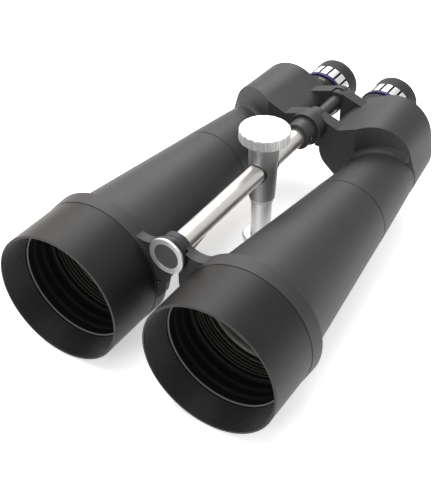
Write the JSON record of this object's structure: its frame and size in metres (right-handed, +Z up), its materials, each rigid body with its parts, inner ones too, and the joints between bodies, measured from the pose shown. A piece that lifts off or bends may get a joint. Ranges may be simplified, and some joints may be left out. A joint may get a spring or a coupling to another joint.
{
  "type": "astronomy binoculars",
  "caption": "Giant porro-prism binocular with deep dew hoods, tapered barrels, individually focused eyepieces and a chromed centre bar riding on a sliding tripod post.",
  "frame": {"origin": "mouth of the tripod thread, in the middle of the foot's flat face", "axes": "+Z up along the post; +Y along the sight lines from the objectives to the eyepieces; the user's left barrel at +X"},
  "size_m": [0.2624, 0.4047, 0.1406],
  "materials": {
    "barrel_paint": "fine matte powder coat over cast aluminium",
    "hood_paint": "satin paint over aluminium",
    "black_anodised": "black anodised",
    "cap_disc_paint": "satin",
    "violet_anodised": "violet anodised",
    "knob_aluminium": "bright turned",
    "machined_aluminium": "turned",
    "polished_post": "polished",
    "chromed_bar": "polished",
    "thread_steel": "plain",
    "nylon": "natural",
    "coated_glass": "anti-reflection coated",
    "prism_glass": "polished",
    "black_rubber": "soft matte"
  },
  "bodies": {
    "post": {"tripod_foot": "machined_aluminium", "tripod_bushing": "thread_steel", "lower_post": "polished_post", "post_head": "machined_aluminium"},
    "liner": {"post_liner": "nylon"},
    "bar": {"centre_bar": "chromed_bar", "cap_ring": "black_anodised", "cap_disc": "cap_disc_paint", "bar_sleeve": "barrel_paint", "sleeve_screws": "thread_steel", "hinge_shaft": "chromed_bar", "hinge_nut": "black_anodised", "hinge_washers": "nylon"},
    "clamp_pad": {"clamp_pad": "nylon"},
    "knob": {"clamp_screw": "thread_steel", "clamp_knob": "knob_aluminium"},
    "left_barrel": {"left_dew_hood": "hood_paint", "left_objective_cell": "black_anodised", "left_retaining_ring": "black_anodised", "left_crown_lens": "coated_glass", "left_flint_lens": "coated_glass", "left_objective_tube": "barrel_paint", "left_tube_baffles": "black_anodised", "left_front_bridge": "barrel_paint", "left_prism_housing": "barrel_paint", "left_rear_cover": "barrel_paint", "left_cover_screws": "thread_steel", "left_prism_shelf": "black_anodised", "left_front_prism": "prism_glass", "left_rear_prism": "prism_glass", "left_prism_clips": "thread_steel", "left_eyepiece_base": "black_anodised"},
    "left_ocular": {"left_ocular_barrel": "black_anodised", "left_field_lens": "coated_glass", "left_eye_lens": "coated_glass"},
    "left_focus": {"left_focus_ring": "violet_anodised", "left_grip_blocks": "knob_aluminium", "left_eyecup": "black_rubber"},
    "right_barrel": {"right_dew_hood": "hood_paint", "right_objective_cell": "black_anodised", "right_retaining_ring": "black_anodised", "right_crown_lens": "coated_glass", "right_flint_lens": "coated_glass", "right_objective_tube": "barrel_paint", "right_tube_baffles": "black_anodised", "right_front_bridge": "barrel_paint", "right_prism_housing": "barrel_paint", "right_rear_cover": "barrel_paint", "right_cover_screws": "thread_steel", "right_prism_shelf": "black_anodised", "right_front_prism": "prism_glass", "right_rear_prism": "prism_glass", "right_prism_clips": "thread_steel", "right_eyepiece_base": "black_anodised"},
    "right_ocular": {"right_ocular_barrel": "black_anodised", "right_field_lens": "coated_glass", "right_eye_lens": "coated_glass"},
    "right_focus": {"right_focus_ring": "violet_anodised", "right_grip_blocks": "knob_aluminium", "right_eyecup": "black_rubber"}
  },
  "joints": [
    {"name": "roll_level", "type": "hinge", "parent": "post", "child": "liner", "pos_m": [0, 0, 0.0771], "axis": [0, 1, 0], "range_deg": [-4, 4]},
    {"name": "balance_slide", "type": "slide", "parent": "liner", "child": "bar", "axis": [0, 1, 0], "range_m": [-0.04, 0.036]},
    {"name": "left_fold", "type": "hinge", "parent": "bar", "child": "left_barrel", "pos_m": [0, 0, 0.0771], "axis": [0, 1, 0], "range_deg": [-8.8, 10]},
    {"name": "right_fold", "type": "hinge", "parent": "bar", "child": "right_barrel", "pos_m": [0, 0, 0.0771], "axis": [0, 1, 0], "range_deg": [-10, 8.8]},
    {"name": "pad_press", "type": "slide", "parent": "post", "child": "clamp_pad", "axis": [0, 0, 1], "range_m": [0, 0.0026]},
    {"name": "knob_turn", "type": "hinge", "parent": "clamp_pad", "child": "knob", "pos_m": [0, 0, 0.104], "axis": [0, 0, 1], "range_deg": [0, 720]},
    {"name": "left_ocular_travel", "type": "slide", "parent": "left_barrel", "child": "left_ocular", "axis": [0, 1, 0], "range_m": [-0.00165, 0.00645]},
    {"name": "left_focus_turn", "type": "hinge", "parent": "left_ocular", "child": "left_focus", "pos_m": [0.0332, 0.18, 0.0565], "axis": [0, 1, 0], "range_deg": [-48, 192]},
    {"name": "right_ocular_travel", "type": "slide", "parent": "right_barrel", "child": "right_ocular", "axis": [0, 1, 0], "range_m": [-0.00165, 0.00645]},
    {"name": "right_focus_turn", "type": "hinge", "parent": "right_ocular", "child": "right_focus", "pos_m": [-0.0332, 0.18, 0.0565], "axis": [0, 1, 0], "range_deg": [-48, 192]}
  ],
  "couplings": [
    {"joint": "right_fold", "follows": "left_fold", "ratio": -1},
    {"joint": "pad_press", "follows": "knob_turn", "m_per_rad": 0.00019894},
    {"joint": "left_ocular_travel", "follows": "left_focus_turn", "m_per_rad": 0.0019099},
    {"joint": "right_ocular_travel", "follows": "right_focus_turn", "m_per_rad": 0.0019099}
  ]
}
